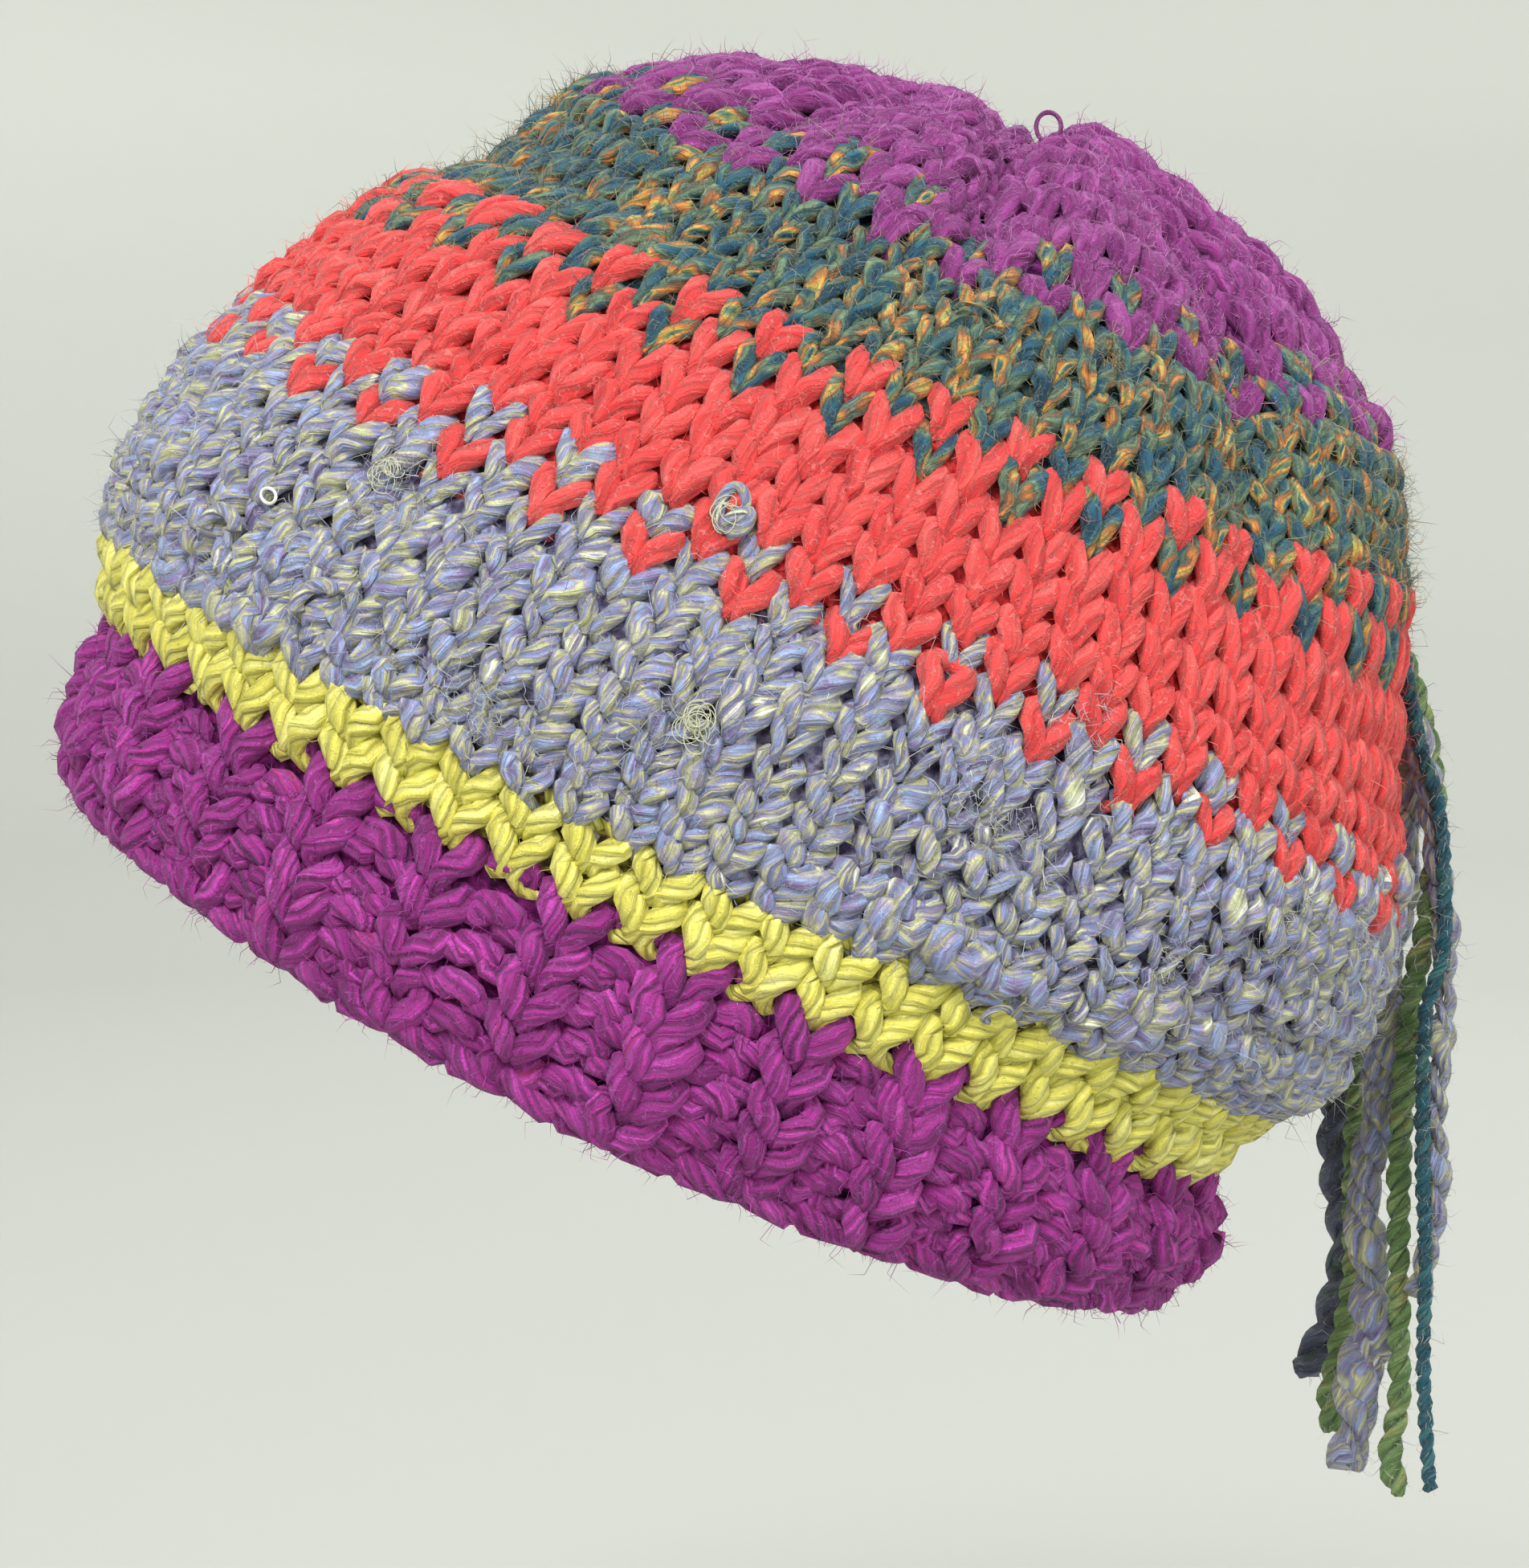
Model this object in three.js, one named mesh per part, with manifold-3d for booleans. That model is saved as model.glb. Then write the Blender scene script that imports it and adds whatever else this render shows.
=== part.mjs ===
import * as THREE from 'three';
import { mergeVertices } from 'three/addons/utils/BufferGeometryUtils.js';
import Module from 'manifold-3d';

// Knitted slouch beanie in the shape it has on a head, in millimetres with Z up.
// The front faces -X, the wearer's left side faces -Y, and the origin is the middle of the opening.

// Overall sizes: half the length along the head, half the width across it, the height up the hat's
// own axis, and how far that axis leans back
const halfLength = 118;
const halfWidth = 88;
const hatHeight = 175;
const leanBackDegrees = 25.3;

// Knitted walls, and the gap between one yarn's band and the next
const brimWall = 9;
const limeWall = 8.5;
const bodyWall = 7;
const bandGap = 0.3;

// Rib of the brim: one knit and one purl stitch side by side
const ribCount = 28;
const ribDepth = 1.6;

// Gathers of the crown: deepest fold, width of a fold's crease, and the sunk centre, which lies
// forward of the hat's axis
const foldDepth = 12;
const foldWidth = 7;
const centreDepth = 11.6;
const centreRadius = 7;
const centreForward = 6.6;

// Hanging yarn ends: thickest yarn, how far the ends hang below the opening, the knot they leave from
const yarnRadius = 3;
const endsBelow = 84;
const knotRadius = 3.4;
const knotLift = 1.6;
const yarnClearance = 0.9;
const bundleLift = 2.3;

// Facets around the bands and around a yarn
const facetsPerRib = 4;
const bandFacets = 72;
const yarnSides = 7;
const yarnSteps = 24;

// Outer shape, one row for each level from the brim's foot to the crown's centre. Reaches to the front
// and back are shares of halfLength, to the side of halfWidth, and rises are shares of hatHeight.
// front, front rise, side, side rise, back, back rise
const sections = [
  [0.898, 0.000, 0.932, -0.034, 0.877, 0.000],
  [0.945, 0.054, 0.977, 0.018, 0.903, 0.043],
  [0.958, 0.109, 0.989, 0.076, 0.903, 0.086],
  [0.958, 0.162, 0.983, 0.136, 0.860, 0.128],
  [0.992, 0.218, 0.994, 0.199, 0.873, 0.184],
  [1.025, 0.269, 1.011, 0.254, 0.953, 0.246],
  [1.034, 0.326, 1.017, 0.320, 0.970, 0.309],
  [1.021, 0.406, 1.000, 0.400, 0.962, 0.383],
  [0.975, 0.491, 0.955, 0.489, 0.924, 0.457],
  [0.924, 0.571, 0.903, 0.577, 0.856, 0.554],
  [0.847, 0.660, 0.830, 0.677, 0.767, 0.703],
  [0.746, 0.720, 0.784, 0.726, 0.733, 0.749],
  [0.699, 0.777, 0.739, 0.771, 0.691, 0.803],
  [0.665, 0.826, 0.676, 0.817, 0.629, 0.855],
  [0.559, 0.880, 0.568, 0.871, 0.549, 0.898],
  [0.441, 0.924, 0.443, 0.921, 0.460, 0.944],
  [0.322, 0.948, 0.324, 0.962, 0.357, 0.980],
  [0.212, 0.960, 0.216, 0.988, 0.240, 0.990],
  [0.110, 0.983, 0.112, 0.979, 0.123, 1.012],
  [0.000, 1.010, 0.000, 1.010, 0.000, 1.010],
];

// Levels where one yarn gives way to the next
const brimTopLevel = 3.4;
const limeTopLevel = 4.45;
const blueTopLevel = 8;
const coralTopLevel = 10;
const tealTopLevel = 13.6;
const centreLevel = sections.length - 1;

// Level where the crown begins to draw forward to its centre
const shiftLevel = 12;

// Creases of the gathered crown: angle from the back in degrees, positive round the wearer's right
// side, depth as a share of foldDepth, level where the crease begins, width as a share of foldWidth.
// The hanging ends leave the centre along the wide one.
const wideCreaseDegrees = 84;
const creases = [
  [-94, 0.90, 11.5, 0.7],
  [-51, 0.65, 8.5, 1.0],
  [-22, 0.45, 12.0, 0.9],
  [5, 0.45, 12.5, 0.9],
  [44, 0.50, 12.0, 0.9],
  [wideCreaseDegrees, 1.00, 11.5, 1.3],
  [122, 0.60, 12.0, 1.0],
  [155, 0.45, 12.0, 0.9],
  [-171, 0.40, 12.5, 0.9],
  [-132, 0.60, 11.5, 1.0],
];

// Hanging yarn ends. The lane is how far to the wearer's right an end runs, as a share of halfWidth,
// and the radius is a share of yarnRadius. Each place on the way down is a distance behind the
// origin as a share of halfLength and a height as a share of endsBelow.
const ends = [
  {
    lane: 0.36,
    radius: 1.0,
    down: [[1.175, 0.62], [1.165, 0.35], [1.144, 0.09], [1.136, -0.19], [1.115, -0.36],
      [1.128, -0.65], [1.115, -0.75], [1.097, -0.96]],
  },
  {
    lane: 0.29,
    radius: 0.66,
    down: [[1.170, 0.58], [1.182, 0.30], [1.175, 0.05], [1.164, -0.30], [1.164, -0.56],
      [1.167, -0.79], [1.153, -0.94], [1.170, -1.00]],
  },
  {
    lane: 0.22,
    radius: 0.6,
    down: [[1.190, 0.60], [1.217, 0.47], [1.229, 0.16], [1.207, 0.05], [1.197, -0.24],
      [1.193, -0.50], [1.191, -0.71], [1.203, -0.98]],
  },
  {
    lane: 0.26,
    radius: 0.7,
    down: [[1.190, 0.50], [1.214, 0.30], [1.222, 0.05], [1.212, -0.18], [1.210, -0.40],
      [1.190, -0.57]],
  },
  {
    lane: 0.57,
    radius: 0.95,
    down: [[1.078, 0.40], [1.088, 0.00], [1.092, -0.33], [1.106, -0.56], [1.068, -0.74],
      [1.040, -0.80]],
  },
  {
    lane: 0.49,
    radius: 0.66,
    down: [[1.096, 0.45], [1.108, 0.05], [1.112, -0.33], [1.105, -0.63], [1.076, -0.82],
      [1.080, -0.91]],
  },
];

const leanBack = THREE.MathUtils.degToRad(leanBackDegrees);

// Place given along the head, across it and up the hat's axis, leaned back
function leaned(along, across, up) {
  return new THREE.Vector3(
    along * Math.cos(leanBack) + up * Math.sin(leanBack),
    across,
    up * Math.cos(leanBack) - along * Math.sin(leanBack),
  );
}

// Smooth curve through one column of the section table
function columnAt(column, level) {
  const below = Math.min(Math.max(Math.floor(level), 0), centreLevel - 1);
  const t = level - below;
  const at = (k) => sections[Math.min(Math.max(below + k, 0), centreLevel)][column];
  const [a, b, c, d] = [at(-1), at(0), at(1), at(2)];
  const slope = (c - a) * t;
  const bend = (2 * a - 5 * b + 4 * c - d) * t * t;
  const twist = (3 * b - a - 3 * c + d) * t * t * t;
  return 0.5 * (2 * b + slope + bend + twist);
}

// Place on the smooth outer shape, with the angle measured from the back
function outline(level, angle) {
  const ahead = Math.cos(angle) < 0;
  const share = Math.abs(Math.cos(angle)) ** (ahead ? 1.6 : 2);
  const reach = columnAt(ahead ? 0 : 4, level) * halfLength;
  const sideRise = columnAt(3, level);
  const rise = sideRise + (columnAt(ahead ? 1 : 5, level) - sideRise) * share;
  const side = columnAt(2, level) * halfWidth;
  const forward = centreForward * smoothStep(shiftLevel, centreLevel, level);
  return leaned(reach * Math.cos(angle) - forward, side * Math.sin(angle), rise * hatHeight);
}

// Direction up the wall, and the direction out of it
function directions(level, angle) {
  const step = 0.02;
  const lower = Math.min(level, centreLevel - 2 * step);
  const up = outline(lower + step, angle).sub(outline(lower - step, angle)).normalize();
  const round = outline(lower, angle + step).sub(outline(lower, angle - step)).normalize();
  const out = level >= centreLevel ? leaned(0, 0, 1) : round.clone().cross(up).normalize();
  return { up, out };
}

function smoothStep(from, to, value) {
  return THREE.MathUtils.smoothstep(value, from, to);
}

// How far the surface sinks at a place because of the gathers and the sunk centre
function sinkAt(level, angle) {
  const axisShare = columnAt(2, level) * halfWidth;
  const lengthShare = columnAt(Math.cos(angle) < 0 ? 0 : 4, level) * halfLength;
  const radius = Math.hypot(lengthShare * Math.cos(angle), axisShare * Math.sin(angle));
  let deepest = 0;
  for (const [degrees, depthShare, firstLevel, widthShare] of creases) {
    const turn = angle - THREE.MathUtils.degToRad(degrees);
    const offset = Math.abs(Math.atan2(Math.sin(turn), Math.cos(turn))) * radius;
    const start = smoothStep(firstLevel, firstLevel + 3.5, level);
    const lastLevel = centreLevel - 3.2 * (1 - depthShare);
    const end = 1 - smoothStep(lastLevel - 1.6, lastLevel, level);
    const crease = Math.exp(-((offset / (widthShare * foldWidth)) ** 1.4));
    deepest = Math.max(deepest, depthShare * foldDepth * start * end * crease);
  }
  return deepest + centreDepth * Math.exp(-((radius / centreRadius) ** 2));
}

// Knit ribs stand out and purl stitches sink between them
function ribAt(share) {
  return ribDepth * (0.5 - 0.5 * Math.cos(2 * Math.PI * ribCount * share));
}

// Place in the wall: a level, an angle, a depth below the outside and a shift along the wall
function wallPoint(level, angle, depth, shift) {
  const { up, out } = directions(level, angle);
  const point = outline(level, angle);
  point.addScaledVector(out, -depth - sinkAt(level, angle));
  return point.addScaledVector(up, shift);
}

// Angles that divide the way round the hat evenly, so that every stitch is as wide as the next
function evenAngles(count) {
  const samples = 720;
  const walked = [0];
  for (let k = 1; k <= samples; k += 1) {
    const from = outline(6, (2 * Math.PI * (k - 1)) / samples);
    const to = outline(6, (2 * Math.PI * k) / samples);
    walked.push(walked[k - 1] + from.distanceTo(to));
  }
  const angles = [];
  let k = 0;
  for (let n = 0; n < count; n += 1) {
    const target = (walked[samples] * n) / count;
    while (walked[k + 1] < target) k += 1;
    const part = (target - walked[k]) / (walked[k + 1] - walked[k]);
    angles.push((2 * Math.PI * (k + part)) / samples);
  }
  return angles;
}

function meshFrom(name, points, triangles, material) {
  const geometry = new THREE.BufferGeometry();
  const flat = points.flatMap((p) => [p.x, p.y, p.z]);
  geometry.setAttribute('position', new THREE.Float32BufferAttribute(flat, 3));
  geometry.setIndex(triangles);
  geometry.computeVertexNormals();
  const mesh = new THREE.Mesh(geometry, material);
  mesh.name = name;
  return mesh;
}

// Levels at even steps from one to another, both ends included
function levelsBetween(from, to, steps) {
  return Array.from({ length: steps + 1 }, (_, k) => from + ((to - from) * k) / steps);
}

// Closed ring of wall, from a loop of places up its outside and down its inside
function ringMesh(name, loop, facets, ribbed, material) {
  const angles = evenAngles(facets);
  const points = [];
  loop.forEach(({ level, depth, shift, ribShare }) => {
    angles.forEach((angle, n) => {
      const rib = ribbed ? ribAt(n / facets) * ribShare : 0;
      points.push(wallPoint(level, angle, depth + rib, shift));
    });
  });
  const triangles = [];
  for (let i = 0; i < loop.length; i += 1) {
    const next = (i + 1) % loop.length;
    for (let n = 0; n < facets; n += 1) {
      const beside = (n + 1) % facets;
      const [a, b] = [i * facets + n, i * facets + beside];
      const [c, d] = [next * facets + beside, next * facets + n];
      triangles.push(a, b, c, a, c, d);
    }
  }
  return meshFrom(name, points, triangles, material);
}

// Plain band of one yarn between two levels
function band(name, bottom, top, wall, steps, material) {
  const half = bandGap / 2;
  const rows = levelsBetween(bottom, top, steps).map((level, k) => {
    const shift = (k === 0 ? half : 0) - (k === steps ? half : 0);
    return { level, shift };
  });
  const outside = rows.map((row) => ({ ...row, depth: 0 }));
  const inside = rows.map((row) => ({ ...row, depth: wall })).reverse();
  return ringMesh(name, [...outside, ...inside], bandFacets, false, material);
}

// Ribbed brim with a rounded foot: level, depth as a share of the wall, how much the ribs show
function brim(material) {
  const profile = [
    [0.10, 0.28, 0.6],
    [0.45, 0.08, 1.0],
    [1.20, 0.00, 1.0],
    [2.40, 0.00, 1.0],
    [brimTopLevel, 0.00, 0.5],
    [brimTopLevel, 1.00, 0.0],
    [1.70, 1.00, 0.0],
    [0.40, 0.90, 0.0],
    [0.02, 0.62, 0.0],
  ];
  const loop = profile.map(([level, depthShare, ribShare]) => ({
    level,
    depth: depthShare * brimWall,
    shift: level === brimTopLevel ? -bandGap / 2 : 0,
    ribShare,
  }));
  return ringMesh('brim', loop, ribCount * facetsPerRib, true, material);
}

// Gathered crown: a domed wall that closes over at its sunk centre
function crown(material) {
  const angles = evenAngles(bandFacets);
  const outerLevels = [tealTopLevel, 14.1, 14.8, 15.5, 16.2, 17, 17.7, 18.25, 18.65];
  const innerLevels = [tealTopLevel, 14.6, 15.6, 16.7, 17.8];
  const points = [];
  const triangles = [];
  const place = (levels, depth) => levels.map((level) => {
    const first = points.length;
    const shift = level === tealTopLevel ? bandGap / 2 : 0;
    angles.forEach((angle) => points.push(wallPoint(level, angle, depth, shift)));
    return first;
  });
  const join = (lower, upper) => {
    for (let n = 0; n < bandFacets; n += 1) {
      const beside = (n + 1) % bandFacets;
      triangles.push(lower + n, lower + beside, upper + beside, lower + n, upper + beside, upper + n);
    }
  };
  const close = (row, depth, outward) => {
    points.push(wallPoint(centreLevel, 0, depth, 0));
    const tip = points.length - 1;
    for (let n = 0; n < bandFacets; n += 1) {
      const beside = (n + 1) % bandFacets;
      triangles.push(...(outward ? [row + n, row + beside, tip] : [row + beside, row + n, tip]));
    }
  };
  const outer = place(outerLevels, 0);
  const inner = place(innerLevels, bodyWall);
  outer.slice(1).forEach((upper, k) => join(outer[k], upper));
  inner.slice(1).forEach((upper, k) => join(upper, inner[k]));
  join(inner[0], outer[0]);
  close(outer[outer.length - 1], 0, true);
  close(inner[inner.length - 1], bodyWall, false);
  return meshFrom('crown', points, triangles, material);
}

// Middle of the knot that the hanging ends leave from, just above the sunk centre
function knotMiddle() {
  return wallPoint(centreLevel, 0, -knotRadius - knotLift, 0);
}

// Way of one hanging end: over the far side of the crown, then free down to its tip
function endCurve({ lane, radius, down }) {
  const across = lane * halfWidth;
  const thickness = radius * yarnRadius;
  const knot = knotMiddle();
  const creaseAngle = THREE.MathUtils.degToRad(wideCreaseDegrees);
  const leavingAngle = THREE.MathUtils.degToRad(wideCreaseDegrees - 20);
  const inCrease = [18.3, 17.6, 16.9].map((level) => (
    wallPoint(level, creaseAngle, -thickness - bundleLift, 0)
  ));
  const overCrown = [16.2, 15.5, 14.7, 13.7, 12.7, 11.7, 10.6].map((level, k) => {
    const side = columnAt(2, level) * halfWidth;
    const laneAngle = Math.asin(Math.min(0.97, across / side));
    const angle = k === 0 ? Math.max(laneAngle, leavingAngle) : laneAngle;
    const { out } = directions(level, angle);
    return outline(level, angle).addScaledVector(out, thickness + yarnClearance);
  });
  const hanging = down.map(([behind, height]) => (
    new THREE.Vector3(behind * halfLength, across, height * endsBelow)
  ));
  return new THREE.CatmullRomCurve3(
    [knot, ...inCrease, ...overCrown, ...hanging],
    false,
    'centripetal',
  );
}

function yarnGeometry(end) {
  const radius = end.radius * yarnRadius;
  const section = new THREE.Shape();
  for (let k = 0; k < yarnSides; k += 1) {
    const turn = (2 * Math.PI * k) / yarnSides;
    const [x, y] = [radius * Math.cos(turn), radius * Math.sin(turn)];
    if (k === 0) section.moveTo(x, y);
    else section.lineTo(x, y);
  }
  section.closePath();
  return new THREE.ExtrudeGeometry(section, {
    steps: yarnSteps,
    curveSegments: 1,
    bevelEnabled: false,
    extrudePath: endCurve(end),
  });
}

const wasm = await Module();
wasm.setup();

function solidFrom(geometry) {
  const bare = geometry.clone();
  bare.deleteAttribute('normal');
  bare.deleteAttribute('uv');
  const merged = mergeVertices(bare, 1e-4);
  return new wasm.Manifold(new wasm.Mesh({
    numProp: 3,
    vertProperties: Float32Array.from(merged.attributes.position.array),
    triVerts: Uint32Array.from(merged.index.array),
  }));
}

// Yarn ends joined to the knot at the crown's centre
function tassel(material) {
  const knotShape = new THREE.SphereGeometry(knotRadius, 12, 8);
  const knotPlace = knotMiddle();
  knotShape.translate(knotPlace.x, knotPlace.y, knotPlace.z);
  let whole = solidFrom(knotShape);
  ends.forEach((end) => {
    whole = whole.add(solidFrom(yarnGeometry(end)));
  });
  const { vertProperties, triVerts, numProp } = whole.getMesh();
  const points = [];
  for (let k = 0; k < vertProperties.length; k += numProp) {
    points.push(new THREE.Vector3(vertProperties[k], vertProperties[k + 1], vertProperties[k + 2]));
  }
  return meshFrom('tassel', points, Array.from(triVerts), material);
}

function yarn(colour, roughness) {
  return new THREE.MeshStandardMaterial({ color: colour, roughness, metalness: 0 });
}

const purple = 0x9c2f8d;
const lime = 0xcacb4e;
const lavenderBlue = 0x8f9bc2;
const coral = 0xee5a52;
const teal = 0x3f6b70;
const crownPurple = 0x963d8c;
const mixedEnds = 0x6f8290;

const hat = new THREE.Group();
hat.name = 'slouch_beanie';
hat.add(
  brim(yarn(purple, 0.85)),
  band('lime_band', brimTopLevel, limeTopLevel, limeWall, 2, yarn(lime, 0.75)),
  band('blue_body', limeTopLevel, blueTopLevel, bodyWall, 4, yarn(lavenderBlue, 0.85)),
  band('coral_band', blueTopLevel, coralTopLevel, bodyWall, 3, yarn(coral, 0.85)),
  band('teal_band', coralTopLevel, tealTopLevel, bodyWall, 3, yarn(teal, 0.9)),
  crown(yarn(crownPurple, 0.9)),
  tassel(yarn(mixedEnds, 0.9)),
);

export default hat;
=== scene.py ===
import bpy, math
import numpy as np
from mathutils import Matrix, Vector


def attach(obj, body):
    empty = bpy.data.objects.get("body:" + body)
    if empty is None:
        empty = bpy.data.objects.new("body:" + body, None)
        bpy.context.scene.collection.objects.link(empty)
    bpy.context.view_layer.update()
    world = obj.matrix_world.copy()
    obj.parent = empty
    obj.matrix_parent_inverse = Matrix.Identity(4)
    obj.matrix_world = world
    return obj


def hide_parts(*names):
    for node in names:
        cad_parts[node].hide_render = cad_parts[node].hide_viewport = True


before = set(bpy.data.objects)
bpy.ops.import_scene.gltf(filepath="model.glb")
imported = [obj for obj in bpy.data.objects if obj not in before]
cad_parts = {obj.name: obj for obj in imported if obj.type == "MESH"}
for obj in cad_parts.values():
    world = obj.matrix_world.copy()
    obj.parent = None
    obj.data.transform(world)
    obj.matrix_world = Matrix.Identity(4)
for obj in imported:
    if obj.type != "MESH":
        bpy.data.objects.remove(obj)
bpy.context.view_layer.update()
print("frame loaded")

# the hat's shape, in millimetres, the same as the CAD model's
hat = {
    "halfLength": 118, "halfWidth": 88, "height": 175, "leanBack": 25.3,
    "foldDepth": 12, "foldWidth": 7, "centreDepth": 11.6, "centreRadius": 7, "centreForward": 6.6, "shiftLevel": 12,
    # front, front rise, side, side rise, back, back rise
    "sections": [
        (0.898, 0.000, 0.932, -0.034, 0.877, 0.000), (0.945, 0.054, 0.977, 0.018, 0.903, 0.043),
        (0.958, 0.109, 0.989, 0.076, 0.903, 0.086), (0.958, 0.162, 0.983, 0.136, 0.860, 0.128),
        (0.992, 0.218, 0.994, 0.199, 0.873, 0.184), (1.025, 0.269, 1.011, 0.254, 0.953, 0.246),
        (1.034, 0.326, 1.017, 0.320, 0.970, 0.309), (1.021, 0.406, 1.000, 0.400, 0.962, 0.383),
        (0.975, 0.491, 0.955, 0.489, 0.924, 0.457), (0.924, 0.571, 0.903, 0.577, 0.856, 0.554),
        (0.847, 0.660, 0.830, 0.677, 0.767, 0.703), (0.746, 0.720, 0.784, 0.726, 0.733, 0.749),
        (0.699, 0.777, 0.739, 0.771, 0.691, 0.803), (0.665, 0.826, 0.676, 0.817, 0.629, 0.855),
        (0.559, 0.880, 0.568, 0.871, 0.549, 0.898), (0.441, 0.924, 0.443, 0.921, 0.460, 0.944),
        (0.322, 0.948, 0.324, 0.962, 0.357, 0.980), (0.212, 0.960, 0.216, 0.988, 0.240, 0.990),
        (0.110, 0.983, 0.112, 0.979, 0.123, 1.012), (0.000, 1.010, 0.000, 1.010, 0.000, 1.010),
    ],
    # angle from the back, depth share, first level, width share
    "creases": [
        (-94, 0.90, 11.5, 0.7), (-51, 0.65, 8.5, 1.0), (-22, 0.45, 12.0, 0.9), (5, 0.45, 12.5, 0.9),
        (44, 0.50, 12.0, 0.9), (84, 1.00, 11.5, 1.3), (122, 0.60, 12.0, 1.0), (155, 0.45, 12.0, 0.9),
        (-171, 0.40, 12.5, 0.9), (-132, 0.60, 11.5, 1.0),
    ],
    # round of knitting counted from the brim's foot, and the level it lies at
    "rounds": [(0, 0.12), (5, 3.4), (7, 4.45), (15.9, 8.0), (21.0, 10.0), (27.0, 13.65), (35.5, 18.9)],
}
sections = np.array(hat["sections"])
lastLevel = len(sections) - 1
lean = math.radians(hat["leanBack"])
roundKnots = np.array(hat["rounds"])


def leaned(along, across, up):
    return np.stack([along * math.cos(lean) + up * math.sin(lean), across,
                     up * math.cos(lean) - along * math.sin(lean)], axis=-1)


def columnAt(column, level):  # smooth curve through one column of the sections
    below = np.clip(np.floor(level).astype(int), 0, lastLevel - 1)
    t = level - below
    a, b, c, d = (sections[np.clip(below + k, 0, lastLevel), column] for k in (-1, 0, 1, 2))
    return 0.5 * (2 * b + (c - a) * t + (2 * a - 5 * b + 4 * c - d) * t ** 2 + (3 * b - a - 3 * c + d) * t ** 3)


def outline(level, angle):
    ahead = np.cos(angle) < 0
    share = np.where(ahead, np.abs(np.cos(angle)) ** 1.6, np.cos(angle) ** 2)
    reach = np.where(ahead, columnAt(0, level), columnAt(4, level)) * hat["halfLength"]
    sideRise = columnAt(3, level)
    rise = sideRise + (np.where(ahead, columnAt(1, level), columnAt(5, level)) - sideRise) * share
    side = columnAt(2, level) * hat["halfWidth"]
    forward = hat["centreForward"] * smoothStep(hat["shiftLevel"], lastLevel, level)
    return leaned(reach * np.cos(angle) - forward, side * np.sin(angle), rise * hat["height"])


def unit(v):
    return v / np.maximum(np.linalg.norm(v, axis=-1, keepdims=True), 1e-9)


def directions(level, angle):
    low = np.clip(level, 0.02, lastLevel - 0.1)
    up = unit(outline(low + 0.02, angle) - outline(low - 0.02, angle))
    around = unit(outline(low, angle + 0.02) - outline(low, angle - 0.02))
    return up, around, unit(np.cross(around, up))


def smoothStep(start, end, x):
    t = np.clip((x - start) / (end - start), 0, 1)
    return t * t * (3 - 2 * t)


def sinkAt(level, angle):  # gathers of the crown and its sunk centre
    side = columnAt(2, level) * hat["halfWidth"]
    length = np.where(np.cos(angle) < 0, columnAt(0, level), columnAt(4, level)) * hat["halfLength"]
    radius = np.hypot(length * np.cos(angle), side * np.sin(angle))
    deepest = np.zeros_like(radius)
    for degrees, depth, firstLevel, width in hat["creases"]:
        turn = angle - math.radians(degrees)
        offset = np.abs(np.arctan2(np.sin(turn), np.cos(turn))) * radius
        start = smoothStep(firstLevel, firstLevel + 3.5, level)
        last = lastLevel - 3.2 * (1 - depth)
        end = 1 - smoothStep(last - 1.6, last, level)
        crease = np.exp(-(offset / (width * hat["foldWidth"])) ** 1.4)
        deepest = np.maximum(deepest, depth * hat["foldDepth"] * start * end * crease)
    return deepest + hat["centreDepth"] * np.exp(-(radius / hat["centreRadius"]) ** 2)


def clothPoint(level, angle, depth):  # millimetres below the outside
    up, around, out = directions(level, angle)
    held = np.clip(level, 0.0, lastLevel)
    point = outline(held, angle) - out * (depth + sinkAt(held, angle))[..., None]
    return point + up * ((level - held) * 7)[..., None]  # the foot runs on below the first level


# even spacing round the hat
turns = np.linspace(0, 2 * math.pi, 1441)
ring = outline(np.full_like(turns, 6.0), turns)
walked = np.concatenate([[0], np.cumsum(np.linalg.norm(np.diff(ring, axis=0), axis=1))])
walked /= walked[-1]


def angleAt(share):
    whole = np.floor(share)
    return np.interp(share - whole, walked, turns) + 2 * math.pi * whole


# smooth climb of the levels from round to round
fineRounds = np.linspace(0, 36, 721)
fineLevels = np.interp(fineRounds, roundKnots[:, 0], roundKnots[:, 1])
kernel = np.hanning(41)
fineLevels = np.convolve(np.pad(fineLevels, 20, mode="reflect", reflect_type="odd"), kernel / kernel.sum(), "valid")


def levelAt(row):
    return np.interp(row, fineRounds, fineLevels) + np.minimum(row, 0) * 0.6


rng = np.random.default_rng(226)
thirdTurn = 2.0944  # radians


def wander(count, scale):  # smooth random walk along a yarn, about one high
    knots = rng.normal(size=int(count / scale) + 4)
    x = np.linspace(0, len(knots) - 2, count)
    below = x.astype(int)
    t = x - below
    t = t * t * (3 - 2 * t)
    return knots[below] * (1 - t) + knots[below + 1] * t


# half of a stitch: share of its width, share of a round, outwards; the rest is its mirror
stitchHalf = np.array([(0.00, -0.50, -0.90), (0.26, -0.52, -0.60), (0.43, -0.24, 0.35), (0.34, 0.18, 0.95),
                       (0.16, 0.62, 0.70), (0.15, 0.90, -0.20), (0.50, 1.06, -0.90)])
stitchWhole = np.concatenate([stitchHalf, stitchHalf[-2:0:-1] * [-1, 1, 1] + [1, 0, 0]])


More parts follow.
